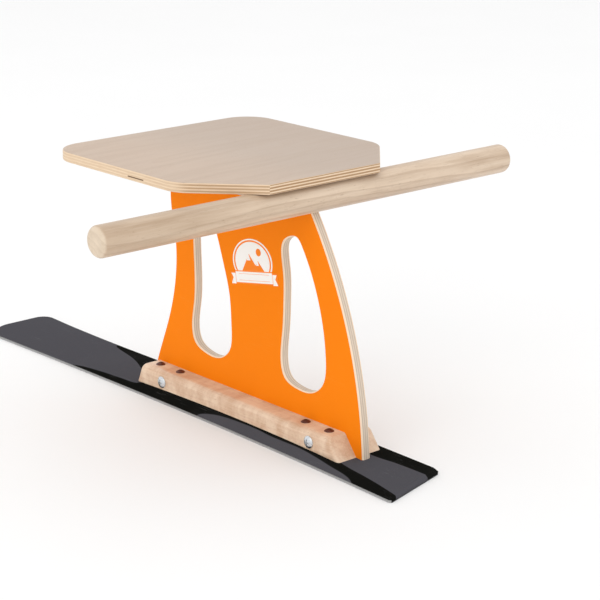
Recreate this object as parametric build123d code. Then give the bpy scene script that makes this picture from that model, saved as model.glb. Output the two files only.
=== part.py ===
from build123d import *
import math
import os

# One-ski sit sled: a plywood seat on an upright plywood panel, standing between two hardwood
# foot blocks on one short ski, with a round handlebar under the seat's rear edge.
# Millimetres. +X points to the ski's tip, +Y to the sled's left, +Z up.
# The origin is on the ground, at the middle of the ski's length and of the sled's width.

# ---------------------------------------------------------------- driving dimensions
ski_length = 808.0
ski_tip_width = 103.0
ski_waist_width = 87.0
ski_tail_width = 100.0
ski_waist_x = -60.0             # where the ski is narrowest
ski_tip_widest_inset = 39.0     # widest place, measured back from the tip
ski_tail_widest_inset = 34.0
ski_tip_radius_left = 40.0
ski_tip_radius_right = 17.0
ski_tail_skew = 26.0            # the tail is cut off obliquely, its left corner further back
ski_tail_radius = 3.0
ski_mid_thickness = 15.5        # under the middle of the foot
ski_foot_end_thickness = 11.5   # under both ends of the foot
ski_tip_thickness = 3.7
ski_tail_thickness = 3.7
ski_tip_rise = 0.8              # how far the tip's end bends up
ski_tip_rise_length = 80.0
ski_base_thickness = 1.2
ski_cap_thickness = 0.6
ski_edge_width = 2.2
ski_edge_height = 1.8
ski_sidewall_width = 2.2
ski_sidewall_height = 1.4
ski_cap_lip = 0.4               # upright part of the cap's side, above the sidewall
ski_cap_slope = 42.0            # how far the cap's sides lean in, in degrees from upright
ski_core_inset = 11.5           # the core stops this far inside the outline
ski_smallest_radius = 0.5       # of a corner that the slope has used up

panel_thickness = 12.0          # with its two facings
facing_thickness = 0.6
arris = 1.2                     # chamfer round the panel's outline and openings
panel_front_top_x = 36.7
panel_rear_foot_x = -313.7
panel_rear_edge_radius = 546.0
panel_rear_edge_centre_z = -18.5
panel_foot_set_back = 6.5       # the front edge behind the blocks' front ends
panel_drawn_height = 320.0      # the panel's height for which its curves' points are drawn

foot_rear_x = -302.0            # the blocks' ends, on the ski
foot_front_x = 74.0
foot_front_bevel = 10.0         # how far the top stands back from the bottom
foot_rear_bevel = 19.0
foot_block_width = 28.0
foot_block_height = 25.0        # above the ski, at the block's ends
foot_block_top_radius = 8.0
foot_block_corner_radius = 4.0

seat_height = 332.0             # top of the seat above the ground
seat_thickness = 12.0
seat_width = 314.0
seat_rear_width = 167.0
seat_front_x = 74.5
seat_rear_x = -240.5
seat_taper_length = 76.5
seat_front_radius = 40.0
seat_taper_radius = 40.0
seat_rear_radius = 2.0
seat_edge_radius = 1.5

bar_length = 616.0
bar_diameter = 35.0
bar_x = -224.0
bar_end_radius = 6.0

batten_width = 24.0
batten_height = 30.0
batten_rear_gap = 17.5          # between the bar and the battens
batten_front_inset = 14.5       # behind the panel's front edge
batten_edge_radius = 2.0

bolt_diameter = 6.0
bolt_head_diameter = 15.0
bolt_head_height = 3.6
bolt_head_rim = 0.8
bolt_clearance = 0.25           # round the shank, in the wood
nut_barrel_diameter = 9.0
nut_barrel_length = 20.0
nut_engagement = 16.0
nut_clearance = 0.15
foot_bolt_drop = 13.5           # bolt axis below the block's top
foot_bolt_set_back = 5.0        # bolt axis behind the middle of its two screws
batten_bolt_inset = 35.0        # from each end of a batten

screw_head_diameter = 12.0
screw_head_cone = 3.2
screw_head_dome = 2.8
screw_diameter = 6.0
foot_screw_length = 33.0
foot_screw_spacing = 40.0
foot_screw_front_inset = 26.5
foot_screw_rear_inset = 35.0
foot_screw_from_panel = 10.0    # screw axis to the panel's face
seat_screw_length = 38.0
seat_screw_inset = 15.0
seat_screws_per_batten = 3
bar_screw_length = 42.0
bar_screw_offset = 60.0         # each side of the panel
bar_screw_sink = 1.2            # the head's rim let into the round bar
bar_screw_dome = 0.9            # these heads are nearly flat, clear of the hands
recess_width = 1.3
recess_depth = 1.5
bolt_recess_width = 1.8
bolt_recess_depth = 2.0

badge_thickness = 0.3
badge_x = -120.0
badge_z = 204.5
badge_ring_width = 72.0
badge_ring_height = 56.0
badge_ribbon_width = 86.0
badge_ribbon_height = 15.0
badge_ribbon_drop = 19.5
badge_tilt = 10.0               # the badge is stuck on a little askew

reach = 20.0                    # how far cutting shapes run past what they cut

# ---------------------------------------------------------------- derived places
half_ski = ski_length / 2
half_panel = panel_thickness / 2
block_outer_y = half_panel + foot_block_width
foot_top_z = ski_foot_end_thickness + foot_block_height
foot_mid_x = (foot_rear_x + foot_front_x) / 2
seat_bottom_z = seat_height - seat_thickness
bar_radius = bar_diameter / 2
bar_z = seat_bottom_z - bar_radius
batten_rear_x = bar_x + bar_radius + batten_rear_gap
batten_front_x = panel_front_top_x - batten_front_inset
rear_edge_centre_x = panel_rear_foot_x + panel_rear_edge_radius
panel_stretch = seat_bottom_z / panel_drawn_height


def save(node, shape):
    """Write one node's solids to its own STEP file."""
    shape.label = node
    export_step(shape, os.path.join("parts", node + ".step"))


def side_view(face, low_y, high_y):
    """Extrude a face drawn in the side view (X, Z) from low_y to high_y."""
    upright = Plane(origin=(0, high_y, 0), x_dir=(1, 0, 0), z_dir=(0, -1, 0))
    return extrude(upright * face, high_y - low_y)


# ---------------------------------------------------------------- ski
def half_width(x):
    """Half the ski's width at x: a shallow curve each way from the waist."""
    if x > ski_waist_x:
        run = half_ski - ski_tip_widest_inset - ski_waist_x
        flare = (ski_tip_width - ski_waist_width) / 2
    else:
        run = ski_waist_x + half_ski - ski_tail_widest_inset
        flare = (ski_tail_width - ski_waist_width) / 2
    return ski_waist_width / 2 + flare * ((x - ski_waist_x) / run) ** 2


def sidecut(start_x, end_x, side, inset=0.0):
    """The ski's edge line on one side (+1 left, -1 right), as a tangent arc each side of the waist."""
    def point(x):
        return (x, side * (half_width(x) - inset))

    def arc(first, last):
        return ThreePointArc(point(first), point((first + last) / 2), point(last))

    return [arc(start_x, ski_waist_x), arc(ski_waist_x, end_x)]


def ski_plan(inset=0.0):
    """The ski's outline from above, moved in by inset all round."""
    lean = math.atan2(ski_tail_skew, ski_tail_width)
    rounding = ski_tail_radius * ((1 + math.sin(lean)) / math.cos(lean) - 1)
    left_tail_x = -half_ski - rounding + inset / math.cos(lean)
    right_tail_x = left_tail_x + ski_tail_skew
    tip_x = half_ski - inset
    tip_half = half_width(tip_x) - inset
    tail_left = (left_tail_x, half_width(left_tail_x) - inset)
    tail_right = (right_tail_x, inset - half_width(right_tail_x))
    edges = sidecut(left_tail_x, tip_x, 1, inset) + sidecut(right_tail_x, tip_x, -1, inset)
    edges.append(Line((tip_x, -tip_half), (tip_x, tip_half)))
    edges.append(Line(tail_right, tail_left))
    outline = make_face(edges)
    roundings = [
        ((tip_x, tip_half), ski_tip_radius_left),
        ((tip_x, -tip_half), ski_tip_radius_right),
        (tail_left, ski_tail_radius),
        (tail_right, ski_tail_radius),
    ]
    for (x, y), radius in roundings:
        corner = min(outline.vertices(), key=lambda v: math.hypot(v.X - x, v.Y - y))
        outline = fillet(corner, max(radius - inset, ski_smallest_radius))
    return outline


def capped_blank(inset=0.0):
    """The ski's blank: upright sides up to the cap's lip, then sides that lean in."""
    side_height = ski_edge_height + ski_sidewall_height + ski_cap_lip
    slope_height = ski_mid_thickness + ski_tip_rise
    lean_in = slope_height * math.tan(math.radians(ski_cap_slope))
    foot = ski_plan(inset)
    head = Pos(0, 0, side_height + slope_height) * ski_plan(inset + lean_in)
    sides = extrude(foot, side_height)
    slopes = loft([Pos(0, 0, side_height) * foot, head], ruled=True)
    return sides + slopes


def sole_line(lift):
    """The ski's running surface in the side view, raised by lift."""
    rise_x = half_ski - ski_tip_rise_length
    past_tip = half_ski + reach
    past_rise = ski_tip_rise * ((past_tip - rise_x) / ski_tip_rise_length) ** 2
    flat = Line((-half_ski - reach, lift), (rise_x, lift))
    bend = TangentArc((rise_x, lift), (past_tip, lift + past_rise), tangent=(1, 0))
    return [flat, bend]


def deck_line(drop):
    """The ski's top surface in the side view, lowered by drop."""
    points = [
        (-half_ski - reach, ski_tail_thickness),
        (foot_rear_x, ski_foot_end_thickness),
        (foot_mid_x, ski_mid_thickness),
        (foot_front_x, ski_foot_end_thickness),
        (half_ski - ski_tip_rise_length * 1.3, ski_tip_thickness),
        (half_ski + reach, ski_tip_thickness + ski_tip_rise * 1.3),
    ]
    return [Spline(*[(x, z - drop) for x, z in points])]


def between(low, high, half_depth):
    """The solid between two side-view lines, half_depth each side of the middle."""
    start_low, end_low = low[0] @ 0, low[-1] @ 1
    start_high, end_high = high[0] @ 0, high[-1] @ 1
    face = make_face(low + high + [Line(start_low, start_high), Line(end_low, end_high)])
    return side_view(face, -half_depth, half_depth)


def side_strip(side, width, height):
    """An upright strip that follows one side of the ski, width wide."""
    start_x, end_x = -half_ski - reach, half_ski - ski_tip_widest_inset
    outer = sidecut(start_x, end_x, side, -reach)
    inner = sidecut(start_x, end_x, side, width)
    ends = [Line(outer[0] @ 0, inner[0] @ 0), Line(outer[-1] @ 1, inner[-1] @ 1)]
    return extrude(make_face(outer + inner + ends), height)


ski_half_depth = ski_tip_width
lid_z = seat_height + reach
lid_line = [Line((-half_ski - reach, lid_z), (half_ski + reach, lid_z))]
above_ski = between(deck_line(0), lid_line, ski_half_depth)

ski_body = capped_blank() & between(sole_line(0), deck_line(0), ski_half_depth)
ski_edges = {}
ski_sidewalls = {}
ski_side_height = ski_edge_height + ski_sidewall_height
for name, side in (("left", 1), ("right", -1)):
    edge_layer = between(sole_line(0), sole_line(ski_edge_height), ski_half_depth)
    ski_edges[name] = ski_body & side_strip(side, ski_edge_width, lid_z) & edge_layer
    wall_layer = between(sole_line(ski_edge_height), sole_line(ski_side_height), ski_half_depth)
    ski_sidewalls[name] = ski_body & side_strip(side, ski_sidewall_width, lid_z) & wall_layer
above_base = between(sole_line(ski_base_thickness), lid_line, ski_half_depth)
under_cap = between(sole_line(ski_base_thickness), deck_line(ski_cap_thickness), ski_half_depth)
ski_base = ski_body & between(sole_line(0), sole_line(ski_base_thickness), ski_half_depth)
ski_core = extrude(ski_plan(ski_core_inset), lid_z) & under_cap
ski_cap = (ski_body & above_base) - ski_core
for name in ("left", "right"):
    ski_base = ski_base - ski_edges[name]
    ski_cap = ski_cap - ski_edges[name] - ski_sidewalls[name]


# ---------------------------------------------------------------- upright panel
def rear_edge_x(z):
    """The panel's rear edge: one long arc that leans forward as it rises."""
    rise = z / panel_stretch - panel_rear_edge_centre_z
    return rear_edge_centre_x - math.sqrt(panel_rear_edge_radius**2 - rise**2)


def panel_outline(inset=0.0):
    """The panel in the side view, without its openings, its front and rear edges moved in by inset."""
    low_z = 0.0
    top_x = panel_front_top_x - inset
    waisted = [(0, 264), (-9.5, 198.5), (-8, 153.5), (7, 95.5)]
    front_points = [(top_x + x, z * panel_stretch) for x, z in waisted]
    foot_x = foot_front_x - inset - panel_foot_set_back
    front_points.append((foot_x, foot_top_z))
    front_points.append((foot_x + panel_foot_set_back * 2, low_z))
    front = Spline(*front_points, tangents=[(0, -1), (0.38, -0.92)])
    front_top = (top_x, seat_bottom_z)
    rear_top = (rear_edge_x(seat_bottom_z) + inset, seat_bottom_z)
    rear_mid_z = seat_bottom_z / 2
    rear_low = (rear_edge_x(low_z) + inset, low_z)
    rear = ThreePointArc(rear_low, (rear_edge_x(rear_mid_z) + inset, rear_mid_z), rear_top)
    edges = [front, rear, Line(front_top, front_points[0]), Line(rear_top, front_top)]
    edges.append(Line(rear_low, front_points[-1]))
    return make_face(edges)


def opening(points, growth=0.0):
    """A smooth closed drop-shaped opening through the given side-view points, grown all round."""
    xs = [x for x, z in points]
    zs = [z * panel_stretch for x, z in points]
    mid_x, half_x = (max(xs) + min(xs)) / 2, (max(xs) - min(xs)) / 2
    mid_z, half_z = (max(zs) + min(zs)) / 2, (max(zs) - min(zs)) / 2
    scale_x, scale_z = 1 + growth / half_x, 1 + growth / half_z
    grown = [(mid_x + (x - mid_x) * scale_x, mid_z + (z - mid_z) * scale_z) for x, z in zip(xs, zs)]
    return make_face(Spline(*grown, periodic=True))


front_opening = [
    (-31, 253.5), (-12.5, 236), (-8.7, 205), (-10.4, 165), (-8.8, 130), (-4.5, 96), (-10, 79),
    (-31, 69), (-60, 70), (-77, 84), (-80.7, 115), (-77, 156), (-66, 192), (-49, 237),
]
rear_opening = [
    (-190, 251), (-172.5, 238), (-174.5, 205), (-175.7, 172), (-173.5, 130), (-171, 95), (-178, 75.5),
    (-200, 67.2), (-226.5, 69), (-243.5, 82), (-249, 119), (-242.3, 160), (-226.8, 205.5), (-207.5, 241),
]
panel_face = panel_outline() - opening(front_opening, -arris) - opening(rear_opening, -arris)
core_half = half_panel - facing_thickness
panel_blank = side_view(panel_face, -core_half, core_half)
flat_sides = panel_blank.faces().filter_by(Axis.Y)
rim_edges = flat_sides[0].edges() + flat_sides[-1].edges()
rim_edges = [e for e in rim_edges if not e.bounding_box().size.Z < arris]
panel_blank = chamfer(rim_edges, arris)

facing_face = panel_outline(arris) - opening(front_opening) - opening(rear_opening)
facing_blanks = {
    "left": side_view(facing_face, core_half, half_panel),
    "right": side_view(facing_face, -half_panel, -core_half),
}


# ---------------------------------------------------------------- fasteners
def cross_recess(depth, width, span):
    """The cross driven into a screw head, opening at z = 0 and pointing down."""
    arm = Box(span, width, depth, align=(Align.CENTER, Align.CENTER, Align.MAX))
    return arm + Rot(0, 0, 90) * arm


def dome_arc(rim_r, rim_z, top_z):
    """The round top of a head: an arc from its rim to the axis, level at the axis."""
    rise = top_z - rim_z
    ball_r = (rim_r**2 + rise**2) / (2 * rise)
    mid_r = rim_r / 2
    mid_z = top_z - ball_r + math.sqrt(ball_r**2 - mid_r**2)
    return ThreePointArc((rim_r, rim_z), (mid_r, mid_z), (0, top_z))


def wood_screw(length, dome_height=screw_head_dome):
    """A raised countersunk screw: the rim at z = 0, the shank down, the low dome up."""
    head_r = screw_head_diameter / 2
    shank_r = screw_diameter / 2
    point = shank_r
    profile = make_face([
        Line((0, -length), (shank_r, -length + point)),
        Line((shank_r, -length + point), (shank_r, -screw_head_cone)),
        Line((shank_r, -screw_head_cone), (head_r, 0)),
        dome_arc(head_r, 0, dome_height),
        Line((0, dome_height), (0, -length)),
    ])
    screw = revolve(Plane.XZ * profile, Axis.Z)
    recess = Pos(0, 0, dome_height) * cross_recess(recess_depth, recess_width, head_r)
    return screw - recess


def screw_hole(length):
    """What a wood screw of this length takes out of the wood, without its dome and recess."""
    head_r = screw_head_diameter / 2
    shank_r = screw_diameter / 2
    profile = make_face(Polyline(
        (0, -length), (shank_r, -length + shank_r), (shank_r, -screw_head_cone),
        (head_r, 0), (head_r, reach), (0, reach), (0, -length),
    ))
    return revolve(Plane.XZ * profile, Axis.Z)


def domed_head():
    """A domed cross-recess head standing on z = 0."""
    head_r = bolt_head_diameter / 2
    profile = make_face([
        Line((0, 0), (head_r, 0)),
        Line((head_r, 0), (head_r, bolt_head_rim)),
        dome_arc(head_r, bolt_head_rim, bolt_head_height),
        Line((0, bolt_head_height), (0, 0)),
    ])
    head = revolve(Plane.XZ * profile, Axis.Z)
    recess = Pos(0, 0, bolt_head_height) * cross_recess(bolt_recess_depth, bolt_recess_width, head_r)
    return head - recess


def cross_bolt(x, z, outer_y):
    """A bolt from the left face at outer_y towards the right, and its sleeve nut from the right."""
    to_left = Pos(x, outer_y, z) * Rot(-90, 0, 0)
    to_right = Pos(x, -outer_y, z) * Rot(90, 0, 0)
    shank_length = 2 * outer_y - nut_barrel_length + nut_engagement
    shank_align = (Align.CENTER, Align.CENTER, Align.MAX)
    shank = Cylinder(bolt_diameter / 2, shank_length, align=shank_align)
    bolt = to_left * (domed_head() + shank)
    barrel = Cylinder(nut_barrel_diameter / 2, nut_barrel_length, align=shank_align)
    nut = to_right * (domed_head() + barrel)
    bore = Pos(x, -outer_y + nut_barrel_length - nut_engagement / 2, z) * Rot(90, 0, 0)
    nut = nut - bore * Cylinder(bolt_diameter / 2, nut_engagement)
    return bolt, nut


def cross_bolt_hole(x, z, outer_y):
    """The clearance that one cross bolt and its nut need in the wood."""
    through = Cylinder(bolt_diameter / 2 + bolt_clearance, 2 * outer_y + reach)
    barrel_length = nut_barrel_length + nut_clearance
    barrel = Cylinder(
        nut_barrel_diameter / 2 + nut_clearance, barrel_length,
        align=(Align.CENTER, Align.CENTER, Align.MAX),
    )
    return Pos(x, 0, z) * Rot(90, 0, 0) * through + Pos(x, -outer_y, z) * Rot(90, 0, 0) * barrel


# ---------------------------------------------------------------- foot blocks
def foot_block(side):
    """One hardwood block along the panel's foot, its ends bevelled, its outer corners rounded."""
    side_face = make_face(Polyline(
        (foot_rear_x, 0), (foot_front_x, 0),
        (foot_front_x, ski_foot_end_thickness),
        (foot_front_x - foot_front_bevel, foot_top_z),
        (foot_rear_x + foot_rear_bevel, foot_top_z),
        (foot_rear_x, ski_foot_end_thickness),
        (foot_rear_x, 0),
    ))
    block = side_view(side_face, half_panel, block_outer_y)
    outer_face = block.faces().sort_by(Axis.Y)[-1]
    top_edge = outer_face.edges().filter_by(Axis.X).sort_by(Axis.Z)[-1]
    block = fillet(top_edge, foot_block_top_radius)
    outer_face = block.faces().filter_by(Axis.Y).sort_by(Axis.Y)[-1]
    level_edges = outer_face.edges().filter_by(Axis.X)
    upright_edges = [e for e in outer_face.edges() if e not in level_edges]
    block = fillet(upright_edges, foot_block_corner_radius)
    block = block & above_ski
    return block if side > 0 else mirror(block, about=Plane.XZ)


foot_screw_starts = {
    "front": foot_front_x - foot_screw_front_inset - foot_screw_spacing,
    "rear": foot_rear_x + foot_screw_rear_inset,
}
foot_screw_xs = {end: [x, x + foot_screw_spacing] for end, x in foot_screw_starts.items()}
foot_bolt_z = foot_top_z - foot_bolt_drop
foot_screw_y = half_panel + foot_screw_from_panel
foot_bolt_xs = {end: sum(xs) / len(xs) - foot_bolt_set_back for end, xs in foot_screw_xs.items()}


# ---------------------------------------------------------------- seat, battens and handlebar
def seat_board():
    """The seat: round front corners, then a taper to a narrower rear edge."""
    half = seat_width / 2
    rear_half = seat_rear_width / 2
    taper_x = seat_rear_x + seat_taper_length
    corners = [
        (seat_front_x, half), (taper_x, half), (seat_rear_x, rear_half),
        (seat_rear_x, -rear_half), (taper_x, -half), (seat_front_x, -half),
    ]
    plan = make_face(Polyline(*corners, close=True))
    for end_x, radius in (
        (seat_front_x, seat_front_radius), (taper_x, seat_taper_radius), (seat_rear_x, seat_rear_radius),
    ):
        chosen = [v for v in plan.vertices() if math.isclose(v.X, end_x, abs_tol=0.01)]
        plan = fillet(chosen, radius)
    board = Pos(0, 0, seat_bottom_z) * extrude(plan, seat_thickness)
    rims = board.faces().sort_by(Axis.Z)[-1].edges() + board.faces().sort_by(Axis.Z)[0].edges()
    return fillet(rims, seat_edge_radius)


def batten(side):
    """A square batten under the seat, flat against the panel."""
    length = batten_front_x - batten_rear_x
    mid_x = (batten_front_x + batten_rear_x) / 2
    mid_y = side * (half_panel + batten_width / 2)
    bar = Box(length, batten_width, batten_height, align=(Align.CENTER, Align.CENTER, Align.MAX))
    low_edges = bar.faces().sort_by(Axis.Z)[0].edges()
    outer_face = bar.faces().sort_by(Axis.Y)[-1 if side > 0 else 0]
    end_edges = outer_face.edges().filter_by(Axis.Z)
    low_edges = [e for e in low_edges if e.center().Y * side > -batten_width / 4]
    bar = fillet(low_edges + list(end_edges), batten_edge_radius)
    return Pos(mid_x, mid_y, seat_bottom_z) * bar


def handlebar():
    """The round bar, its ends rounded over."""
    bar = Cylinder(bar_radius, bar_length)
    bar = fillet(bar.edges().filter_by(GeomType.CIRCLE), bar_end_radius)
    return Pos(bar_x, 0, bar_z) * Rot(90, 0, 0) * bar


# ---------------------------------------------------------------- badge
def badge(side):
    """A thin vinyl badge: an oval with a ribbon across its foot."""
    oval = Ellipse(badge_ring_width / 2, badge_ring_height / 2)
    ribbon = Pos(0, -badge_ribbon_drop) * RectangleRounded(badge_ribbon_width, badge_ribbon_height, 2)
    face = Pos(badge_x, badge_z) * Rot(0, 0, -badge_tilt) * (oval + ribbon)
    if side > 0:
        return side_view(face, half_panel, half_panel + badge_thickness)
    return side_view(face, -half_panel - badge_thickness, -half_panel)


# ---------------------------------------------------------------- fasteners in their places
def facing_down(x, y, z):
    """A screw driven down from above."""
    return Pos(x, y, z)


def facing_up(x, y, z):
    """A screw driven up from below."""
    return Pos(x, y, z) * Rot(180, 0, 0)


screw_groups = {}
screw_cuts = {}
for side_name, side in (("left", 1), ("right", -1)):
    for end_name, xs in foot_screw_xs.items():
        places = [facing_down(x, side * foot_screw_y, foot_top_z) for x in xs]
        key = f"ski_screws_{end_name}_{side_name}"
        screw_groups[key] = [place * wood_screw(foot_screw_length) for place in places]
        screw_cuts[key] = [place * screw_hole(foot_screw_length) for place in places]
    span = batten_front_x - batten_rear_x - 2 * seat_screw_inset
    step = span / (seat_screws_per_batten - 1)
    xs = [batten_rear_x + seat_screw_inset + step * i for i in range(seat_screws_per_batten)]
    batten_y = side * (half_panel + batten_width / 2)
    places = [facing_up(x, batten_y, seat_bottom_z - batten_height) for x in xs]
    key = f"seat_screws_{side_name}"
    screw_groups[key] = [place * wood_screw(seat_screw_length) for place in places]
    screw_cuts[key] = [place * screw_hole(seat_screw_length) for place in places]
bar_screw_z = bar_z - bar_radius + bar_screw_sink
places = [facing_up(bar_x, y, bar_screw_z) for y in (-bar_screw_offset, bar_screw_offset)]
screw_groups["handlebar_screws"] = [place * wood_screw(bar_screw_length, bar_screw_dome) for place in places]
screw_cuts["handlebar_screws"] = [place * screw_hole(bar_screw_length) for place in places]

cross_bolts = {}
cross_cuts = {}
for end_name, x in foot_bolt_xs.items():
    cross_bolts[f"foot_{{}}_{end_name}"] = cross_bolt(x, foot_bolt_z, block_outer_y)
    cross_cuts[f"foot_{end_name}"] = cross_bolt_hole(x, foot_bolt_z, block_outer_y)
batten_outer_y = half_panel + batten_width
batten_bolt_z = seat_bottom_z - batten_height / 2
for end_name, x in (
    ("front", batten_front_x - batten_bolt_inset), ("rear", batten_rear_x + batten_bolt_inset),
):
    cross_bolts[f"batten_{{}}_{end_name}"] = cross_bolt(x, batten_bolt_z, batten_outer_y)
    cross_cuts[f"batten_{end_name}"] = cross_bolt_hole(x, batten_bolt_z, batten_outer_y)


def drilled(shape, *keys):
    """The shape less the named screw and bolt holes."""
    for key in keys:
        cuts = screw_cuts[key] if key in screw_cuts else [cross_cuts[key]]
        for cut in cuts:
            shape = shape - cut
    return shape


# ---------------------------------------------------------------- the nodes
bar = handlebar()
cross_keys = list(cross_cuts)
all_ski_screws = [key for key in screw_cuts if key.startswith("ski_screws")]

nodes = {
    "ski_base": ski_base,
    "ski_edge_left": ski_edges["left"],
    "ski_edge_right": ski_edges["right"],
    "ski_sidewall_left": ski_sidewalls["left"],
    "ski_sidewall_right": ski_sidewalls["right"],
    "ski_core": drilled(ski_core, *all_ski_screws),
    "ski_cap": drilled(ski_cap, *all_ski_screws),
    "upright_panel": drilled((panel_blank & above_ski) - bar, *cross_keys),
    "seat_board": drilled(seat_board(), "seat_screws_left", "seat_screws_right", "handlebar_screws"),
    "handlebar": drilled(bar, "handlebar_screws"),
}
for side_name, side in (("left", 1), ("right", -1)):
    facing = drilled((facing_blanks[side_name] & above_ski) - bar, *cross_keys)
    nodes[f"panel_facing_{side_name}"] = facing
    block_screws = [key for key in all_ski_screws if key.endswith(side_name)]
    nodes[f"foot_block_{side_name}"] = drilled(foot_block(side), "foot_front", "foot_rear", *block_screws)
    batten_cuts = ("batten_front", "batten_rear", f"seat_screws_{side_name}")
    nodes[f"seat_batten_{side_name}"] = drilled(batten(side), *batten_cuts)
    nodes[f"badge_{side_name}"] = badge(side)
for pattern, (bolt, nut) in cross_bolts.items():
    nodes[pattern.format("bolt")] = bolt
    nodes[pattern.format("nut")] = nut
for key, screws in screw_groups.items():
    nodes[key] = Compound(children=[solid for screw in screws for solid in screw.solids()])

os.makedirs("parts", exist_ok=True)
for node, shape in nodes.items():
    save(node, shape)
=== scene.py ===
# A one-ski sit sled: a plywood seat on an upright orange-faced plywood panel, which stands
# between two beech foot blocks on one short ski, with a round beech handlebar under the seat.
# Metres. +X points to the ski's tip, +Y to the sled's left, +Z up.
import math

import bpy
import numpy as np
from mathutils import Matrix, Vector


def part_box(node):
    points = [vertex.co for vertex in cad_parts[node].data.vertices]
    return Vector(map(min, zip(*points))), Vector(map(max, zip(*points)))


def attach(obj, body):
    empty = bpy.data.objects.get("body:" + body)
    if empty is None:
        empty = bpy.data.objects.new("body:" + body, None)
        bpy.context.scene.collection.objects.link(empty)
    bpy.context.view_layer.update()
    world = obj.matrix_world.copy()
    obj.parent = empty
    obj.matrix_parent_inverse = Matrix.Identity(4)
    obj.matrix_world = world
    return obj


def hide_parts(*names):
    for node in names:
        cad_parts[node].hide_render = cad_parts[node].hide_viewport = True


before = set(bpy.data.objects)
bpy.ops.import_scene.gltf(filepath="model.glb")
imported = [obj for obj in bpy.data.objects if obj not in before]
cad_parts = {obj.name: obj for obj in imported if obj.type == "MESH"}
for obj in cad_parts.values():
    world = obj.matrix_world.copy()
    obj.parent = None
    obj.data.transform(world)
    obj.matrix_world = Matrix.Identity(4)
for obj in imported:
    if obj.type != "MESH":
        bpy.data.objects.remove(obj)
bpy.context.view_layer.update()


# ------------------------------------------------------------------ running surface and steel edges
# The ski slides on a black sintered polyethylene base, ground with a fine lengthwise structure.
# Two square steel edges are set flush into its long sides, and grey ABS sidewalls stand on them.
def wire(tree, socket, value):
    """Feed a socket from another node's output, or set it to a plain value."""
    if isinstance(value, bpy.types.NodeSocket):
        tree.links.new(value, socket)
    else:
        socket.default_value = value


def add(tree, kind, settings=None, sockets=None):
    """One shader node of a kind, with its settings and its input sockets filled in."""
    made = tree.nodes.new("ShaderNode" + kind)
    for name, value in (settings or {}).items():
        setattr(made, name, value)
    for name, value in (sockets or {}).items():
        wire(tree, made.inputs[name], value)
    return made


def sums(tree, operation, *values):
    """A Math node's result."""
    return add(tree, "Math", {"operation": operation}, dict(enumerate(values))).outputs[0]


def spread(tree, value, low, high, out_low=0.0, out_high=1.0):
    """A value carried smoothly from one range to another, held at both ends."""
    sockets = {"Value": value, "From Min": low, "From Max": high, "To Min": out_low, "To Max": out_high}
    return add(tree, "MapRange", {"interpolation_type": "SMOOTHSTEP"}, sockets).outputs["Result"]


def blend_colours(tree, factor, first, second):
    """Two colours mixed by a factor."""
    made = add(tree, "Mix", {"data_type": "RGBA"})
    for socket, value in zip((made.inputs[0], made.inputs[6], made.inputs[7]), (factor, first, second)):
        wire(tree, socket, value)
    return made.outputs[2]


def scaled(tree, vector, x, y, z):
    """Coordinates stretched by a number along each axis."""
    sockets = {0: vector, 1: (x, y, z)}
    return add(tree, "VectorMath", {"operation": "MULTIPLY"}, sockets).outputs[0]


def clouds(tree, vector, scale, detail=3.0, roughness=0.5):
    """Soft noise from 0 to 1."""
    sockets = {"Vector": vector, "Scale": scale, "Detail": detail, "Roughness": roughness}
    return add(tree, "TexNoise", {}, sockets).outputs[0]


def paint(red, green, blue):
    """A colour given as on a screen, 0 to 255, as the linear colour a shader takes."""
    levels = np.array([red, green, blue]) / 255.0
    linear = np.where(levels <= 0.04045, levels / 12.92, ((levels + 0.055) / 1.055) ** 2.4)
    return (*linear.tolist(), 1.0)


def finish_material(name, **shader):
    """A new material, as four things: itself, its tree, its Principled BSDF with the plain values
    set, and its Object coordinates."""
    material = bpy.data.materials.new(name)
    material.use_nodes = True
    tree = material.node_tree
    principled = tree.nodes["Principled BSDF"]
    for socket, value in shader.items():
        principled.inputs[socket.replace("_", " ")].default_value = value
    place = add(tree, "TexCoord").outputs["Object"]
    return material, tree, principled, place


def raise_surface(tree, principled, height, distance):
    """Let a height pattern tilt the surface; distance is its full height in metres."""
    sockets = {"Height": height, "Distance": distance, "Strength": 1.0}
    wire(tree, principled.inputs["Normal"], add(tree, "Bump", {}, sockets).outputs["Normal"])


def dress(material, *node_names):
    """Give CAD nodes their material."""
    for name in node_names:
        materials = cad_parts[name].data.materials
        materials.clear()
        materials.append(material)


def handling_marks():
    """Group: hair scratches along X and a broad unevenness, as any used, handled surface has."""
    tree = bpy.data.node_groups.new("handling marks", "ShaderNodeTree")
    tree.interface.new_socket("Vector", in_out="INPUT", socket_type="NodeSocketVector")
    tree.interface.new_socket("Scratch Amount", in_out="INPUT", socket_type="NodeSocketFloat")
    for name in ("Scratches", "Clouding"):
        tree.interface.new_socket(name, in_out="OUTPUT", socket_type="NodeSocketFloat")
    given = tree.nodes.new("NodeGroupInput")
    result = tree.nodes.new("NodeGroupOutput")
    hairs = clouds(tree, scaled(tree, given.outputs["Vector"], 35, 1900, 1900), 1.0, 2.0)
    patches = clouds(tree, given.outputs["Vector"], 26.0, 2.0)
    lines = sums(tree, "MULTIPLY", spread(tree, hairs, 0.63, 0.74), spread(tree, patches, 0.45, 0.65))
    wire(tree, result.inputs["Scratches"], sums(tree, "MULTIPLY", lines, given.outputs["Scratch Amount"]))
    wire(tree, result.inputs["Clouding"], clouds(tree, given.outputs["Vector"], 9.0, 4.0, 0.6))
    return tree


marks_group = handling_marks()


def marks(tree, place, amount):
    """The handling marks placed in a material: (scratches, clouding)."""
    made = add(tree, "Group", {"node_tree": marks_group}, {"Vector": place, "Scratch Amount": amount})
    return made.outputs["Scratches"], made.outputs["Clouding"]


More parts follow.
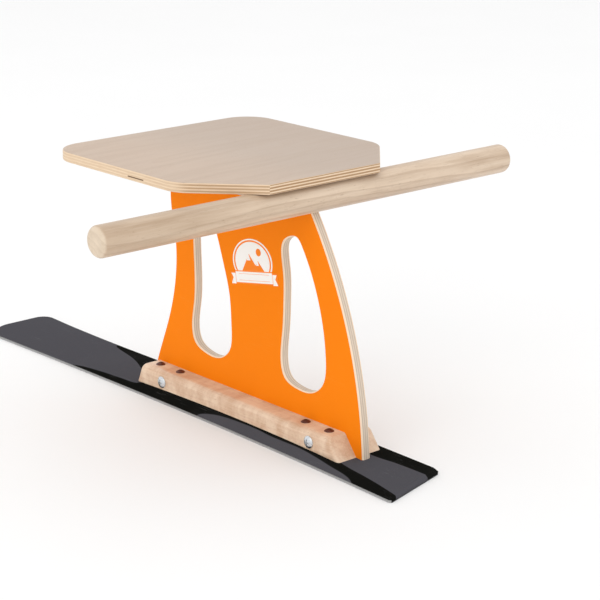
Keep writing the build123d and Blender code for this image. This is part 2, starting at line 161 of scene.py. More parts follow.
base_plastic, tree, shader, place = finish_material("sintered base", IOR=1.5)
scratches, clouding = marks(tree, place, 0.8)
structure = clouds(tree, scaled(tree, place, 4, 3200, 3200), 1.0, 1.0)
black = blend_colours(tree, clouding, paint(20, 20, 21), paint(31, 31, 32))
black = blend_colours(tree, scratches, black, paint(74, 74, 76))
wire(tree, shader.inputs["Base Color"], black)
wire(tree, shader.inputs["Roughness"], spread(tree, structure, 0.3, 0.7, 0.42, 0.62))
raise_surface(tree, shader, structure, 0.00003)
dress(base_plastic, "ski_base")

edge_steel, tree, shader, place = finish_material("ground edge steel", Metallic=1.0)
clouding = marks(tree, place, 1.0)[1]
grinding = clouds(tree, scaled(tree, place, 900, 260, 260), 1.0, 3.0)
steel = blend_colours(tree, grinding, paint(150, 150, 152), paint(206, 206, 206))
steel = blend_colours(tree, spread(tree, clouding, 0.62, 0.8, 0.0, 0.35), steel, paint(150, 132, 112))
wire(tree, shader.inputs["Base Color"], steel)
wire(tree, shader.inputs["Roughness"], spread(tree, grinding, 0.3, 0.7, 0.28, 0.46))
raise_surface(tree, shader, grinding, 0.00002)
dress(edge_steel, "ski_edge_left", "ski_edge_right")

sidewall_abs, tree, shader, place = finish_material("grey sidewall", IOR=1.5)
scratches, clouding = marks(tree, place, 0.6)
saw_marks = clouds(tree, scaled(tree, place, 500, 60, 120), 1.0, 3.0)
grey = blend_colours(tree, saw_marks, paint(128, 128, 127), paint(158, 158, 156))
grey = blend_colours(tree, scratches, grey, paint(196, 196, 194))
wire(tree, shader.inputs["Base Color"], grey)
wire(tree, shader.inputs["Roughness"], spread(tree, clouding, 0.3, 0.7, 0.45, 0.6))
raise_surface(tree, shader, saw_marks, 0.00003)
dress(sidewall_abs, "ski_sidewall_left", "ski_sidewall_right")


# ------------------------------------------------------------------ ski core
# The core is poplar strips glued side by side and closed in by the cap, so it only shows in
# the screw holes. The strips run the ski's whole length.
strips_per_metre = 110.0
core_wood, tree, shader, place = finish_material("poplar core", IOR=1.45)
split = add(tree, "SeparateXYZ", {}, {0: place})
strip_place = sums(tree, "FRACT", sums(tree, "MULTIPLY", split.outputs["Y"], strips_per_metre))
glue_lines = spread(tree, strip_place, 0.0, 0.06, 1.0, 0.0)
fibre = clouds(tree, scaled(tree, place, 12, 500, 500), 1.0, 4.0, 0.6)
poplar = blend_colours(tree, fibre, paint(196, 172, 136), paint(222, 204, 172))
poplar = blend_colours(tree, glue_lines, poplar, paint(150, 116, 80))
wire(tree, shader.inputs["Base Color"], poplar)
wire(tree, shader.inputs["Roughness"], spread(tree, fibre, 0.3, 0.7, 0.55, 0.7))
raise_surface(tree, shader, fibre, 0.00005)
dress(core_wood, "ski_core")


# ------------------------------------------------------------------ ski cap
# The cap is moulded nylon with its colours printed under a clear skin: slate grey with a black
# wave along each side, and a slim grey swoosh low on the slopes beside the foot blocks.
print_reach, print_swing = 0.41, 0.06
print_blur = 0.0004


def spread_straight(tree, value, low, high, out_low=0.0, out_high=1.0):
    """A value carried in proportion from one range to another."""
    sockets = {"Value": value, "From Min": low, "From Max": high, "To Min": out_low, "To Max": out_high}
    return add(tree, "MapRange", {"clamp": False}, sockets).outputs["Result"]


def print_line(tree, along, points):
    """A printed line's Y in metres for each X, through (x, y) points in millimetres. The curve
    works in shares from 0 to 1, of the reach along the ski and of the swing across it."""
    made = add(tree, "FloatCurve", {}, {"Value": spread_straight(tree, along, -print_reach, print_reach)})
    curve = made.mapping.curves[0]
    reach, swing = print_reach * 1000, print_swing * 1000
    shares = [((x + reach) / (2 * reach), (y + swing) / (2 * swing)) for x, y in points]
    curve.points[0].location = shares[0]
    curve.points[-1].location = shares[-1]
    for share in shares[1:-1]:
        curve.points.new(*share)
    made.mapping.update()
    return spread_straight(tree, made.outputs[0], 0.0, 1.0, -print_swing, print_swing)


cap_skin, tree, shader, place = finish_material("printed cap", IOR=1.35, Specular_IOR_Level=0.0)
split = add(tree, "SeparateXYZ", {}, {0: place})
along, across = split.outputs["X"], split.outputs["Y"]
left_wave = print_line(tree, along, [
    (-410, 41.5), (-373, 36.5), (-346, 34), (-320, 32.5), (-290, 29), (-100, 29), (55, 30),
    (70, 38), (103, 39.7), (145, 41.6), (188, 45.0), (206, 48.2), (230, 55), (410, 58),
])
right_wave = print_line(tree, along, [
    (-410, -28), (-374, -24.8), (-343, -20.5), (-310, -14), (-280, -12), (60, 20), (95, 8),
    (116, -3.5), (131, -11), (147, -18), (166, -24.5), (200, -33.5), (215, -38), (236, -52),
    (410, -58),
])
swoosh_line = print_line(tree, along, [
    (-410, 58), (-348, 51), (-329, 45.6), (-296, 42.2), (-268, 39.4), (-239, 37.4), (-213, 37.0),
    (-186, 36.6), (-165, 35.6), (-130, 35.4), (-104, 36.0), (-85, 37.4), (-62, 41.5), (-52, 47),
    (410, 58),
])
from_middle = sums(tree, "ABSOLUTE", across)
left_black = spread(tree, sums(tree, "SUBTRACT", across, left_wave), -print_blur, print_blur)
right_black = spread(tree, sums(tree, "SUBTRACT", right_wave, across), -print_blur, print_blur)
swoosh = spread(tree, sums(tree, "SUBTRACT", from_middle, swoosh_line), -print_blur, print_blur)
black_print = sums(tree, "MAXIMUM", left_black, right_black)
black_print = sums(tree, "MULTIPLY", black_print, sums(tree, "SUBTRACT", 1.0, swoosh))
scratches, clouding = marks(tree, place, 0.5)
flake = clouds(tree, place, 1400.0, 1.0)
slate = blend_colours(tree, flake, paint(74, 73, 78), paint(86, 85, 90))
printed = blend_colours(tree, black_print, slate, paint(22, 22, 20))
printed = blend_colours(tree, spread(tree, clouding, 0.45, 0.8, 0.0, 0.05), printed, paint(110, 110, 112))
printed = blend_colours(tree, scratches, printed, paint(116, 116, 118))
wire(tree, shader.inputs["Base Color"], printed)
duller = sums(tree, "MULTIPLY", scratches, 0.3)
worn = sums(tree, "ADD", spread(tree, clouding, 0.3, 0.7, 0.40, 0.48), duller)
wire(tree, shader.inputs["Roughness"], worn)
raise_surface(tree, shader, clouds(tree, place, 420.0, 2.0), 0.00002)
dress(cap_skin, "ski_cap")


# ------------------------------------------------------------------ upright panel's plywood
# The panel is birch plywood cut on a router, 12 mm thick with its two facings. Only its rim and
# its openings' walls show bare wood, with the plies in turn along and across the grain, and a
# painted highlight in a pale band along each softened arris.
def ply_lines():
    """Group: the plies and glue lines of a plywood edge, from the depth below the board's face."""
    tree = bpy.data.node_groups.new("ply lines", "ShaderNodeTree")
    for name in ("Depth", "Ply Thickness", "Waver"):
        tree.interface.new_socket(name, in_out="INPUT", socket_type="NodeSocketFloat")
    tree.interface.new_socket("Vector", in_out="INPUT", socket_type="NodeSocketVector")
    for name in ("End Grain", "Glue", "Height"):
        tree.interface.new_socket(name, in_out="OUTPUT", socket_type="NodeSocketFloat")
    given = tree.nodes.new("NodeGroupInput")
    result = tree.nodes.new("NodeGroupOutput")
    sway = sums(tree, "SUBTRACT", clouds(tree, given.outputs["Vector"], 30.0, 2.0), 0.5)
    depth = sums(tree, "MULTIPLY_ADD", sway, given.outputs["Waver"], given.outputs["Depth"])
    turn = sums(tree, "DIVIDE", depth, given.outputs["Ply Thickness"])
    within = sums(tree, "FRACT", turn)
    odd = sums(tree, "FRACT", sums(tree, "MULTIPLY", sums(tree, "FLOOR", turn), 0.5))
    end_grain = spread(tree, odd, 0.2, 0.3)
    nearest = sums(tree, "MINIMUM", within, sums(tree, "SUBTRACT", 1.0, within))
    glue = spread(tree, nearest, 0.02, 0.11, 1.0, 0.0)
    pores = clouds(tree, scaled(tree, given.outputs["Vector"], 700, 700, 700), 1.0, 3.0, 0.7)
    rough = sums(tree, "MULTIPLY", pores, sums(tree, "MULTIPLY_ADD", end_grain, 0.7, 0.3))
    wire(tree, result.inputs["End Grain"], end_grain)
    wire(tree, result.inputs["Glue"], glue)
    wire(tree, result.inputs["Height"], sums(tree, "SUBTRACT", rough, sums(tree, "MULTIPLY", glue, 0.4)))
    return tree


ply_group = ply_lines()


def plies(tree, place, depth, thickness):
    """The ply lines placed in a material, each line straying 0.1 mm: (end grain, glue, height)."""
    sockets = {"Depth": depth, "Ply Thickness": thickness, "Waver": 0.0002, "Vector": place}
    made = add(tree, "Group", {"node_tree": ply_group}, sockets)
    return made.outputs["End Grain"], made.outputs["Glue"], made.outputs["Height"]


panel_low, panel_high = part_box("upright_panel")
panel_plies = 7
arris_highlight_wide, arris_highlight_blur = 0.0016, 0.0005
rim_wood, tree, shader, place = finish_material("birch ply rim", IOR=1.45)
split = add(tree, "SeparateXYZ", {}, {0: place})
depth = sums(tree, "SUBTRACT", split.outputs["Y"], panel_low.y)
end_grain, glue, rim_height = plies(tree, place, depth, (panel_high.y - panel_low.y) / panel_plies)
fibre = clouds(tree, scaled(tree, place, 60, 900, 60), 1.0, 4.0, 0.6)
rim = blend_colours(tree, end_grain, paint(232, 214, 194), paint(208, 190, 170))
rim = blend_colours(tree, spread(tree, fibre, 0.35, 0.7, 0.0, 0.3), rim, paint(190, 170, 150))
rim = blend_colours(tree, sums(tree, "MULTIPLY", glue, 0.3), rim, paint(156, 134, 114))
from_middle = sums(tree, "ABSOLUTE", split.outputs["Y"])
arris_highlight_start = panel_high.y - arris_highlight_wide
arris_highlight = spread(tree, from_middle, arris_highlight_start, arris_highlight_start + arris_highlight_blur)
# Painted highlight: a pale band along the rim next to each facing, where the softened arris catches the
# light.
rim = blend_colours(tree, sums(tree, "MULTIPLY", arris_highlight, 0.9), rim, paint(252, 228, 200))
wire(tree, shader.inputs["Base Color"], rim)
wire(tree, shader.inputs["Roughness"], spread(tree, fibre, 0.3, 0.7, 0.42, 0.6))
raise_surface(tree, shader, rim_height, 0.00012)
dress(rim_wood, "upright_panel")


# ------------------------------------------------------------------ panel facings
# Both sides of the panel are faced with a thin orange laminate, bonded on before the panel is
# cut. Its cut edge is painted pale, a painted highlight. It has a satin gloss, a very fine pressed
# texture and a few hair scratches from use. The light it throws on the wood and the floor is
# taken paler than its face.
orange = paint(255, 134, 14)
thrown_paler = 0.7
laminate, tree, shader, place = finish_material("orange laminate", IOR=1.35, Specular_IOR_Level=0.06)
scratches, clouding = marks(tree, place, 0.35)
face_colour = blend_colours(tree, clouding, paint(252, 131, 12), paint(255, 137, 18))
face_colour = blend_colours(tree, scratches, face_colour, paint(255, 166, 72))
facing = add(tree, "SeparateXYZ", {}, {0: add(tree, "NewGeometry").outputs["Normal"]})
cut_edge_highlight = spread(tree, sums(tree, "ABSOLUTE", facing.outputs["Y"]), 0.3, 0.5, 1.0, 0.0)
# Painted highlight: the facing's thin cut edge is painted pale.
face_colour = blend_colours(tree, cut_edge_highlight, face_colour, paint(250, 228, 200))
thrown = add(tree, "LightPath").outputs["Is Diffuse Ray"]
thrown = sums(tree, "MULTIPLY", thrown, thrown_paler)
face_colour = blend_colours(tree, thrown, face_colour, paint(232, 214, 200))
wire(tree, shader.inputs["Base Color"], face_colour)
pressed = clouds(tree, place, 1900.0, 2.0)
wire(tree, shader.inputs["Roughness"], spread(tree, clouding, 0.3, 0.7, 0.36, 0.48))
raise_surface(tree, shader, pressed, 0.00002)
dress(laminate, "panel_facing_left", "panel_facing_right")


# ------------------------------------------------------------------ badges
# A badge of thin printed vinyl is stuck on each facing: a white oval inside a white ring, a
# pair of orange peaks with a sun, and a blank white ribbon with cut tails across its foot.
badge_low, badge_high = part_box("badge_left")
badge_tilt = math.radians(10)
badge_middle = (badge_low + badge_high) / 2
oval_wide, oval_tall = 0.036, 0.028
ribbon_drop, ribbon_half = 0.0195, 0.0075
ribbon_shadow_tall = 0.0013
ribbon_reach, tail_notch = 0.0382, 0.6
fold_line = (0.0335, 0.0342)
rule_reach = 0.0280
upper_rule, lower_rule = (-0.0148, -0.0144), (-0.0226, -0.0222)
print_soft = 0.0002
vinyl, tree, shader, place = finish_material("printed vinyl", IOR=1.35, Specular_IOR_Level=0.3)
oval_x = badge_middle.x + ribbon_drop * math.sin(badge_tilt)
oval_z = badge_high.z - math.hypot(oval_wide * math.sin(badge_tilt), oval_tall * math.cos(badge_tilt))
turned = add(tree, "Mapping", {"vector_type": "TEXTURE"}, {
    "Vector": place,
    "Location": (oval_x, 0.0, oval_z),
    "Rotation": (0.0, badge_tilt, 0.0),
}).outputs[0]
split = add(tree, "SeparateXYZ", {}, {0: turned})
wide, tall = split.outputs["X"], split.outputs["Z"]


def oval(tree, wide, tall, middle, half_wide, half_tall):
    """How far out a point lies, as a share of an oval's half sizes (1 on its line)."""
    over = sums(tree, "DIVIDE", wide, half_wide)
    up = sums(tree, "DIVIDE", sums(tree, "SUBTRACT", tall, middle), half_tall)
    squares = sums(tree, "ADD", sums(tree, "MULTIPLY", over, over), sums(tree, "MULTIPLY", up, up))
    return sums(tree, "SQRT", squares)


def peak(tree, wide, tall, top_x, top_z, slope):
    """1 below a mountain's two straight flanks, 0 above them."""
    flank = sums(tree, "MULTIPLY", sums(tree, "ABSOLUTE", sums(tree, "SUBTRACT", wide, top_x)), slope)
    above_flank = sums(tree, "SUBTRACT", sums(tree, "SUBTRACT", top_z, flank), tall)
    return spread(tree, above_flank, -print_soft, print_soft)


def stripe(tree, value, low, high):
    """1 between two lines, 0 outside them."""
    soft = 0.00015
    rising = spread(tree, value, low - soft, low + soft)
    return sums(tree, "MULTIPLY", rising, spread(tree, value, high - soft, high + soft, 1.0, 0.0))


def either(tree, *masks):
    """The largest of several masks."""
    most = masks[0]
    for mask in masks[1:]:
        most = sums(tree, "MAXIMUM", most, mask)
    return most


from_oval = oval(tree, wide, tall, 0.0, oval_wide, oval_tall)
inside_ring = spread(tree, from_oval, 0.935, 0.95, 1.0, 0.0)
gap = sums(tree, "MULTIPLY", spread(tree, from_oval, 0.865, 0.88), inside_ring)
near_peak = peak(tree, wide, tall, 0.005, 0.010, 1.35)
far_peak = peak(tree, wide, tall, -0.010, 0.002, 1.2)
near_cap = peak(tree, wide, tall, 0.0065, 0.0125, 3.2)
far_cap = peak(tree, wide, tall, -0.009, 0.0040, 3.2)
near_snow = sums(tree, "MULTIPLY", near_cap, stripe(tree, tall, 0.002, 0.02))
far_snow = sums(tree, "MULTIPLY", far_cap, stripe(tree, tall, -0.004, 0.02))
bare = sums(tree, "SUBTRACT", 1.0, either(tree, near_snow, far_snow))
from_sun = oval(tree, sums(tree, "ADD", wide, 0.013), tall, 0.0120, 0.0046, 0.0046)
sun = spread(tree, from_sun, 0.96, 1.04, 1.0, 0.0)
inside = spread(tree, from_oval, 0.80, 0.815, 1.0, 0.0)
emblem = either(tree, sums(tree, "MULTIPLY", either(tree, near_peak, far_peak), bare), sun)
emblem = either(tree, sums(tree, "MULTIPLY", emblem, inside), gap)
above_ribbon = spread(tree, tall, -0.0108, -0.0106)
emblem = sums(tree, "MULTIPLY", emblem, above_ribbon)
shadow_foot = ribbon_half - ribbon_drop
ribbon_shadow = stripe(tree, tall, shadow_foot, shadow_foot + ribbon_shadow_tall)
ends = sums(tree, "ABSOLUTE", wide)
off_middle = sums(tree, "ABSOLUTE", sums(tree, "ADD", tall, ribbon_drop))
to_notch = sums(tree, "SUBTRACT", ends, sums(tree, "MULTIPLY", off_middle, tail_notch))
notch = spread(tree, to_notch, ribbon_reach, ribbon_reach + 2 * print_soft)
fold = stripe(tree, ends, *fold_line)
tail = spread(tree, ends, fold_line[0], fold_line[0] + print_soft)
tail_top = sums(tree, "MULTIPLY", tail, spread(tree, tall, -0.0142, -0.0140))
ribbon_foot = spread(tree, tall, -0.0252, -0.0250, 1.0, 0.0)
hem = sums(tree, "MULTIPLY", sums(tree, "SUBTRACT", 1.0, tail), ribbon_foot)
rules = either(tree, stripe(tree, tall, *upper_rule), stripe(tree, tall, *lower_rule))
within_rules = spread(tree, ends, rule_reach, rule_reach + print_soft, 1.0, 0.0)
rules = sums(tree, "MULTIPLY", rules, within_rules)
on_ribbon = either(tree, notch, fold, tail_top, hem, rules)
on_ribbon = sums(tree, "MULTIPLY", on_ribbon, sums(tree, "SUBTRACT", 1.0, above_ribbon))
orange_print = either(tree, emblem, ribbon_shadow, on_ribbon)
scratches, clouding = marks(tree, place, 0.5)
white = blend_colours(tree, clouding, paint(250, 248, 243), paint(254, 253, 250))
ink = blend_colours(tree, orange_print, white, orange)
ink = blend_colours(tree, scratches, ink, paint(214, 205, 192))
wire(tree, shader.inputs["Base Color"], ink)
wire(tree, shader.inputs["Roughness"], spread(tree, clouding, 0.3, 0.7, 0.28, 0.40))
raise_surface(tree, shader, clouds(tree, place, 300.0, 2.0), 0.00003)
dress(vinyl, "badge_left", "badge_right")


# ------------------------------------------------------------------ foot blocks and battens
# Two beech blocks stand on the ski, one each side of the panel, their top outer edges rounded
# and their ends bevelled. Two smaller beech battens hold the seat the same way, under the board.
def timber_figure():
    """Group: solid wood with its grain along X. Rings are shells round a pith line, told by the
    distance from it plus a slow sway; fibres are noise drawn out along X; flecks are short dashes."""
    tree = bpy.data.node_groups.new("timber figure", "ShaderNodeTree")
    for name in ("Vector", "Pith"):
        tree.interface.new_socket(name, in_out="INPUT", socket_type="NodeSocketVector")
    for name in ("Ring Gap", "Sway"):
        tree.interface.new_socket(name, in_out="INPUT", socket_type="NodeSocketFloat")
    for name in ("Rings", "Fibres", "Flecks", "Height"):
        tree.interface.new_socket(name, in_out="OUTPUT", socket_type="NodeSocketFloat")
    given = tree.nodes.new("NodeGroupInput")
    result = tree.nodes.new("NodeGroupOutput")
    vector = given.outputs["Vector"]
    from_pith = {0: vector, 1: given.outputs["Pith"]}
    away = add(tree, "VectorMath", {"operation": "SUBTRACT"}, from_pith).outputs[0]
    flat = scaled(tree, away, 0, 1, 1)
    distance = add(tree, "VectorMath", {"operation": "LENGTH"}, {0: flat}).outputs["Value"]
    slow = sums(tree, "SUBTRACT", clouds(tree, scaled(tree, vector, 3.2, 16, 16), 1.0, 2.0), 0.5)
    distance = sums(tree, "MULTIPLY_ADD", slow, given.outputs["Sway"], distance)
    within = sums(tree, "FRACT", sums(tree, "DIVIDE", distance, given.outputs["Ring Gap"]))
    next_ring = spread(tree, within, 0.86, 1.0, 1.0, 0.0)
    late = sums(tree, "MULTIPLY", sums(tree, "POWER", within, 2.2), next_ring)
    fibres = clouds(tree, scaled(tree, vector, 16, 620, 620), 1.0, 4.0, 0.62)
    dashes = spread(tree, clouds(tree, scaled(tree, vector, 150, 1700, 1100), 1.0, 1.0), 0.66, 0.74)
    wire(tree, result.inputs["Rings"], late)
    wire(tree, result.inputs["Fibres"], fibres)
    wire(tree, result.inputs["Flecks"], dashes)
    pores = sums(tree, "MULTIPLY", dashes, 0.7)
    wire(tree, result.inputs["Height"], sums(tree, "SUBTRACT", fibres, pores))
    return tree


timber_group = timber_figure()


def timber(tree, vector, pith, ring_gap, sway):
    """The timber figure placed in a material: (rings, fibres, flecks, height)."""
    sockets = {"Vector": vector, "Pith": pith, "Ring Gap": ring_gap, "Sway": sway}
    made = add(tree, "Group", {"node_tree": timber_group}, sockets)
    return [made.outputs[name] for name in ("Rings", "Fibres", "Flecks", "Height")]


lacquer = {"IOR": 1.5, "Coat_Weight": 0.25, "Coat_Roughness": 0.25}
block_pith, block_ring_gap = (0.0, 0.11, -0.09), 0.0062
beech, tree, shader, place = finish_material("lacquered beech", **lacquer)
rings, fibres, flecks, height = timber(tree, place, block_pith, block_ring_gap, 0.030)
curl = spread(tree, clouds(tree, scaled(tree, place, 58, 24, 34), 1.0, 4.0, 0.6), 0.34, 0.66)
wood = blend_colours(tree, curl, paint(210, 172, 140), paint(234, 206, 178))
wood = blend_colours(tree, sums(tree, "MULTIPLY", rings, 0.34), wood, paint(206, 156, 122))
wood = blend_colours(tree, spread(tree, fibres, 0.4, 0.75, 0.0, 0.35), wood, paint(248, 222, 194))
wood = blend_colours(tree, sums(tree, "MULTIPLY", flecks, 0.4), wood, paint(168, 112, 78))
wire(tree, shader.inputs["Base Color"], wood)
wire(tree, shader.inputs["Roughness"], spread(tree, fibres, 0.3, 0.7, 0.36, 0.52))
raise_surface(tree, shader, height, 0.00008)
dress(beech, "foot_block_left", "foot_block_right", "seat_batten_left", "seat_batten_right")


# ------------------------------------------------------------------ seat board
# The seat is 12 mm birch plywood, cut round with its edges softened by a small radius and
# lacquered clear. Its rotary-cut face veneer has its grain across the sled and is paler to the
# left, and on the left edge one inner ply has a short open joint that shows as a dark dash.
seat_low, seat_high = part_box("seat_board")
seat_plies = 7
veneer_turn = math.radians(86)
veneer_pith, veneer_ring_gap = (0.0, 0.05, -0.45), 0.012
open_joint_long, open_joint_deep = (-0.109, -0.080), (0.0068, 0.0082)
seat_wood, tree, shader, place = finish_material("birch seat", IOR=1.4, Specular_IOR_Level=0.2)
split = add(tree, "SeparateXYZ", {}, {0: place})
depth = sums(tree, "SUBTRACT", seat_high.z, split.outputs["Z"])
end_grain, glue, edge_height = plies(tree, place, depth, (seat_high.z - seat_low.z) / seat_plies)
facing = add(tree, "SeparateXYZ", {}, {0: add(tree, "NewGeometry").outputs["Normal"]})
toward_end = sums(tree, "ABSOLUTE", facing.outputs["X"])
on_face = spread(tree, sums(tree, "ABSOLUTE", facing.outputs["Z"]), 0.62, 0.8)
turned = add(tree, "Mapping", {}, {"Vector": place, "Rotation": (0, 0, veneer_turn)}).outputs[0]
drift = clouds(tree, scaled(tree, turned, 2.2, 11, 11), 1.0, 3.0)
bands = clouds(tree, scaled(tree, turned, 6.0, 95, 95), 1.0, 4.0, 0.6)
rings, fibres, flecks, height = timber(tree, turned, veneer_pith, veneer_ring_gap, 0.10)
veneer = blend_colours(tree, drift, paint(188, 170, 154), paint(200, 183, 168))
# The veneer is coloured paler toward the left and darker toward the right.
left_paler_share = spread(tree, split.outputs["Y"], -0.16, 0.15)
right_darker_veneer = blend_colours(tree, 0.5, veneer, paint(180, 162, 148))
veneer = blend_colours(tree, left_paler_share, right_darker_veneer, veneer)
veneer = blend_colours(tree, spread(tree, left_paler_share, 0.4, 1.0, 0.0, 0.28), veneer, paint(214, 186, 162))
veneer = blend_colours(tree, spread(tree, bands, 0.42, 0.66, 0.0, 0.22), veneer, paint(178, 156, 136))
veneer = blend_colours(tree, sums(tree, "MULTIPLY", rings, 0.12), veneer, paint(178, 146, 122))
veneer = blend_colours(tree, spread(tree, fibres, 0.45, 0.75, 0.0, 0.2), veneer, paint(214, 198, 182))
veneer = blend_colours(tree, sums(tree, "MULTIPLY", flecks, 0.22), veneer, paint(150, 112, 86))
fibre = clouds(tree, scaled(tree, place, 60, 60, 1200), 1.0, 4.0, 0.6)
contrast = spread(tree, toward_end, 0.3, 0.95, 0.25, 1.0)
flip = spread(tree, toward_end, 0.8, 0.9)
both = sums(tree, "MULTIPLY", flip, end_grain)
flipped = sums(tree, "SUBTRACT", sums(tree, "ADD", flip, end_grain), sums(tree, "MULTIPLY", both, 2.0))
cut_across = sums(tree, "MULTIPLY", flipped, contrast)
glue_dark = sums(tree, "MULTIPLY", glue, sums(tree, "MULTIPLY", contrast, 0.45))
edge = blend_colours(tree, cut_across, paint(240, 216, 186), paint(176, 138, 102))
edge = blend_colours(tree, spread(tree, fibre, 0.35, 0.7, 0.0, 0.35), edge, paint(205, 170, 134))
edge = blend_colours(tree, glue_dark, edge, paint(128, 92, 66))
on_left = spread(tree, facing.outputs["Y"], 0.8, 0.9)
joint_long = stripe(tree, split.outputs["X"], *open_joint_long)
joint_deep = stripe(tree, depth, *open_joint_deep)
open_joint = sums(tree, "MULTIPLY", on_left, sums(tree, "MULTIPLY", joint_long, joint_deep))
edge = blend_colours(tree, open_joint, edge, paint(112, 86, 62))
wire(tree, shader.inputs["Base Color"], blend_colours(tree, on_face, edge, veneer))
wire(tree, shader.inputs["Roughness"], spread(tree, fibres, 0.3, 0.7, 0.38, 0.52))
relief = add(tree, "Mix", {}, {0: on_face, 2: edge_height, 3: height}).outputs[0]
raise_surface(tree, shader, relief, 0.00007)
dress(seat_wood, "seat_board")


# ------------------------------------------------------------------ handlebar
# The handlebar is one 35 mm beech dowel, turned smooth and rounded over at both ends, where
# the end grain takes the lacquer a little paler. Its colour darkens toward the left end. Two
# screws hold it up to the seat board.
bar_low, bar_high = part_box("handlebar")
bar_radius = (bar_high.z - bar_low.z) / 2
bar_axis = ((bar_low.x + bar_high.x) / 2, (bar_low.z + bar_high.z) / 2)
bar_half = (bar_high.y - bar_low.y) / 2
end_round = 0.006
round_steps, side_steps = 9, 24
bar_pith, bar_ring_gap = (0.0, -0.195, 0.255), 0.0075


def turned_bar(segments):
    """A turned bar along Y. Its radius follows a profile: out across the end, round a quarter
    circle, straight along the side, and the same again mirrored; the profile is carried round."""
    out = np.linspace(0.0, bar_radius - end_round, round_steps)[1:]
    bend = np.linspace(0.0, math.pi / 2, round_steps)[1:]
    radii = np.concatenate([out, bar_radius - end_round + end_round * np.sin(bend)])
    places = np.concatenate([np.full(len(out), bar_half), bar_half - end_round * (1 - np.cos(bend))])
    side = np.linspace(bar_half - end_round, 0.0, side_steps)[1:]
    radii = np.concatenate([radii, np.full(len(side), bar_radius)])
    places = np.concatenate([places, side])
    radii = np.concatenate([radii, radii[-2::-1]])
    places = np.concatenate([places, -places[-2::-1]])
    turn = np.linspace(0.0, 2 * math.pi, segments, endpoint=False)
    ring_x = bar_axis[0] + radii[:, None] * np.sin(turn)
    ring_z = bar_axis[1] + radii[:, None] * np.cos(turn)
    ring_y = np.broadcast_to(places[:, None], ring_x.shape)
    rings = np.stack([ring_x, ring_y, ring_z], axis=-1).reshape(-1, 3)
    poles = np.array([[bar_axis[0], bar_half, bar_axis[1]], [bar_axis[0], -bar_half, bar_axis[1]]])
    count = len(radii)
    row, column = np.meshgrid(np.arange(count - 1), np.arange(segments), indexing="ij")
    following = (column + 1) % segments
    quads = np.stack([
        row * segments + column, row * segments + following,
        (row + 1) * segments + following, (row + 1) * segments + column,
    ], axis=-1).reshape(-1, 4)
    ring = np.arange(segments)
    after = (ring + 1) % segments
    first, last = count * segments, count * segments + 1
    near_end = np.stack([np.full(segments, first), after, ring], axis=-1)
    base = (count - 1) * segments
    far_end = np.stack([np.full(segments, last), base + ring, base + after], axis=-1)
    mesh = bpy.data.meshes.new("turned bar")
    faces = quads.tolist() + near_end.tolist() + far_end.tolist()
    mesh.from_pydata(np.vstack([rings, poles]).tolist(), [], faces)
    mesh.polygons.foreach_set("use_smooth", np.ones(len(mesh.polygons), bool))
    mesh.update()
    return mesh


def show_piece(name, mesh, material, slot_name, *nodes):
    """Put a finished mesh in the scene as a piece that rides on the sled in place of CAD nodes."""
    piece = bpy.data.objects.new(name, mesh)
    bpy.context.scene.collection.objects.link(piece)
    mesh.materials.append(material)
    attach(piece, "root")
    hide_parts(*nodes)


bar_wood, tree, shader, place = finish_material("lacquered dowel", **lacquer)
turned = add(tree, "Mapping", {}, {"Vector": place, "Rotation": (0, 0, math.radians(90))}).outputs[0]
rings, fibres, flecks, height = timber(tree, turned, bar_pith, bar_ring_gap, 0.028)
drift = spread(tree, clouds(tree, scaled(tree, turned, 7, 60, 60), 1.0, 4.0, 0.6), 0.34, 0.66)
wood = blend_colours(tree, drift, paint(196, 170, 143), paint(224, 201, 176))
wood = blend_colours(tree, sums(tree, "MULTIPLY", rings, 0.6), wood, paint(168, 138, 110))
wood = blend_colours(tree, spread(tree, fibres, 0.42, 0.75, 0.0, 0.4), wood, paint(232, 214, 192))
wood = blend_colours(tree, sums(tree, "MULTIPLY", flecks, 0.35), wood, paint(150, 112, 82))
along_bar = add(tree, "SeparateXYZ", {}, {0: place}).outputs["Y"]
cut_end = spread(tree, sums(tree, "ABSOLUTE", along_bar), bar_half - 0.004, bar_half - 0.001)
# The colour darkens toward the left end, short of the end grain.
darker_end = spread(tree, along_bar, 0.0, 0.26, 0.0, 0.4)
darker_end = sums(tree, "MULTIPLY", darker_end, sums(tree, "SUBTRACT", 1.0, cut_end))
wood = blend_colours(tree, darker_end, wood, paint(172, 144, 114))
wood = blend_colours(tree, sums(tree, "MULTIPLY", cut_end, 0.5), wood, paint(226, 210, 186))
wire(tree, shader.inputs["Base Color"], wood)
wire(tree, shader.inputs["Roughness"], spread(tree, fibres, 0.3, 0.7, 0.36, 0.52))
raise_surface(tree, shader, height, 0.00009)
show_piece("handlebar_turned", turned_bar(96), bar_wood, "bar_wood", "handlebar")


# ------------------------------------------------------------------ dark screws
# Raised countersunk wood screws hold the blocks down to the ski, the battens up to the seat
# and the bar to the board. They are steel with a brown phosphate coat, flecked lighter in places.
dark_steel, tree, shader, place = finish_material("brown phosphate", IOR=1.5)
grains = clouds(tree, place, 1600.0, 3.0, 0.7)
wide_grains = clouds(tree, place, 260.0, 3.0)
brown = blend_colours(tree, wide_grains, paint(78, 46, 38), paint(122, 80, 68))
brown = blend_colours(tree, spread(tree, grains, 0.58, 0.75, 0.0, 0.5), brown, paint(150, 112, 98))
wire(tree, shader.inputs["Base Color"], brown)
wire(tree, shader.inputs["Metallic"], spread(tree, grains, 0.3, 0.7, 0.45, 0.8))
wire(tree, shader.inputs["Roughness"], spread(tree, wide_grains, 0.3, 0.7, 0.34, 0.52))
raise_surface(tree, shader, grains, 0.00003)
dress(
    dark_steel, "ski_screws_front_left", "ski_screws_front_right", "ski_screws_rear_left",
    "ski_screws_rear_right", "seat_screws_left", "seat_screws_right", "handlebar_screws",
)


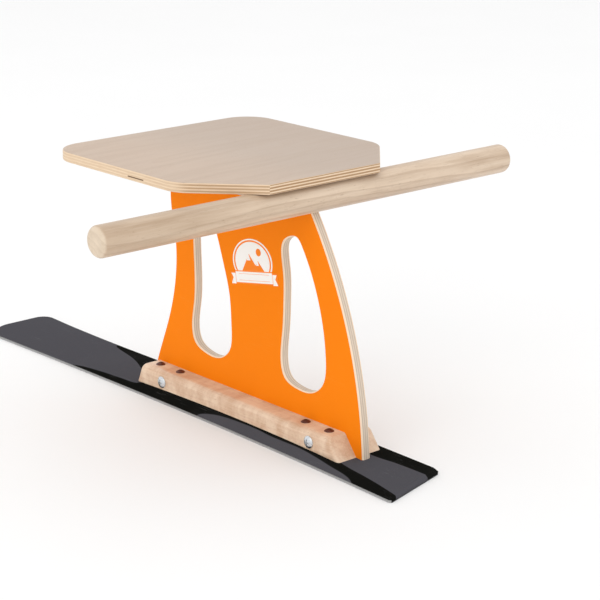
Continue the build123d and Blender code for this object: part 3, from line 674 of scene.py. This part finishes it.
# ------------------------------------------------------------------ cross bolts and sleeve nuts
# Four zinc-plated bolts pass through the blocks or battens and the panel into sleeve nuts.
# Both have low domed heads with a cross recess. The plate is bright with a faint blue cast and
# faint straw patches.
zinc, tree, shader, place = finish_material("bright zinc", Metallic=1.0)
spangle = clouds(tree, place, 520.0, 3.0)
fine = clouds(tree, place, 2400.0, 2.0)
plate = blend_colours(tree, spangle, paint(196, 204, 214), paint(232, 233, 232))
straw = spread(tree, clouds(tree, place, 140.0, 2.0), 0.5, 0.75, 0.0, 0.4)
plate = blend_colours(tree, straw, plate, paint(214, 200, 170))
wire(tree, shader.inputs["Base Color"], plate)
wire(tree, shader.inputs["Roughness"], spread(tree, spangle, 0.3, 0.7, 0.20, 0.36))
raise_surface(tree, shader, fine, 0.00002)
dress(
    zinc, "foot_bolt_front", "foot_bolt_rear", "foot_nut_front", "foot_nut_rear",
    "batten_bolt_front", "batten_bolt_rear", "batten_nut_front", "batten_nut_rear",
)


# ------------------------------------------------------------------ studio
# A plain pale floor, an even white surround, one broad soft light from the sled's left, and a
# weaker one from above. The camera stands behind the sled's left side, a little above the seat.
floor_mesh = bpy.data.meshes.new("floor")
reach = 30.0
floor_corners = [(-reach, -reach, 0), (reach, -reach, 0), (reach, reach, 0), (-reach, reach, 0)]
floor_mesh.from_pydata(floor_corners, [], [(0, 1, 2, 3)])
floor = bpy.data.objects.new("floor", floor_mesh)
bpy.context.scene.collection.objects.link(floor)
floor_paint, tree, shader, place = finish_material("pale floor", IOR=1.4)
mottle = clouds(tree, place, 3.0, 2.0)
pale = blend_colours(tree, mottle, paint(247, 247, 247), paint(249, 249, 249))
wire(tree, shader.inputs["Base Color"], pale)
wire(tree, shader.inputs["Roughness"], spread(tree, mottle, 0.3, 0.7, 0.8, 0.9))
floor_mesh.materials.append(floor_paint)

world = bpy.data.worlds.new("surround")
bpy.context.scene.world = world
world.use_nodes = True
world.node_tree.nodes["Background"].inputs["Color"].default_value = (1.0, 1.0, 1.0, 1.0)
world.node_tree.nodes["Background"].inputs["Strength"].default_value = 1.0
bpy.context.scene.view_settings.view_transform = "Standard"


def soft_light(name, place, aim, size, power):
    """A square area light at a place, turned to face a point."""
    light = bpy.data.lights.new(name, "AREA")
    light.size = size
    light.energy = power
    lamp = bpy.data.objects.new(name, light)
    bpy.context.scene.collection.objects.link(lamp)
    lamp.location = place
    direction = np.array(aim) - np.array(place)
    flat = math.hypot(direction[0], direction[1])
    lamp.rotation_euler = (math.atan2(flat, -direction[2]), 0.0, math.atan2(-direction[0], direction[1]))


soft_light("left key", (-1.3, 2.6, 2.0), (-0.1, 0.0, 0.2), 2.0, 12.0)
soft_light("high fill", (0.8, -0.6, 3.0), (0.0, 0.0, 0.1), 3.0, 7.0)

camera_data = bpy.data.cameras.new("camera")
camera_data.lens = 114.21
camera_data.shift_x = 0.0730
camera_data.shift_y = 0.0175
camera = bpy.data.objects.new("camera", camera_data)
bpy.context.scene.collection.objects.link(camera)
camera.location = (-1.7679, 1.4122, 0.8112)
camera.rotation_euler = (math.radians(72.90), 0.0, math.radians(229.41))
bpy.context.scene.camera = camera
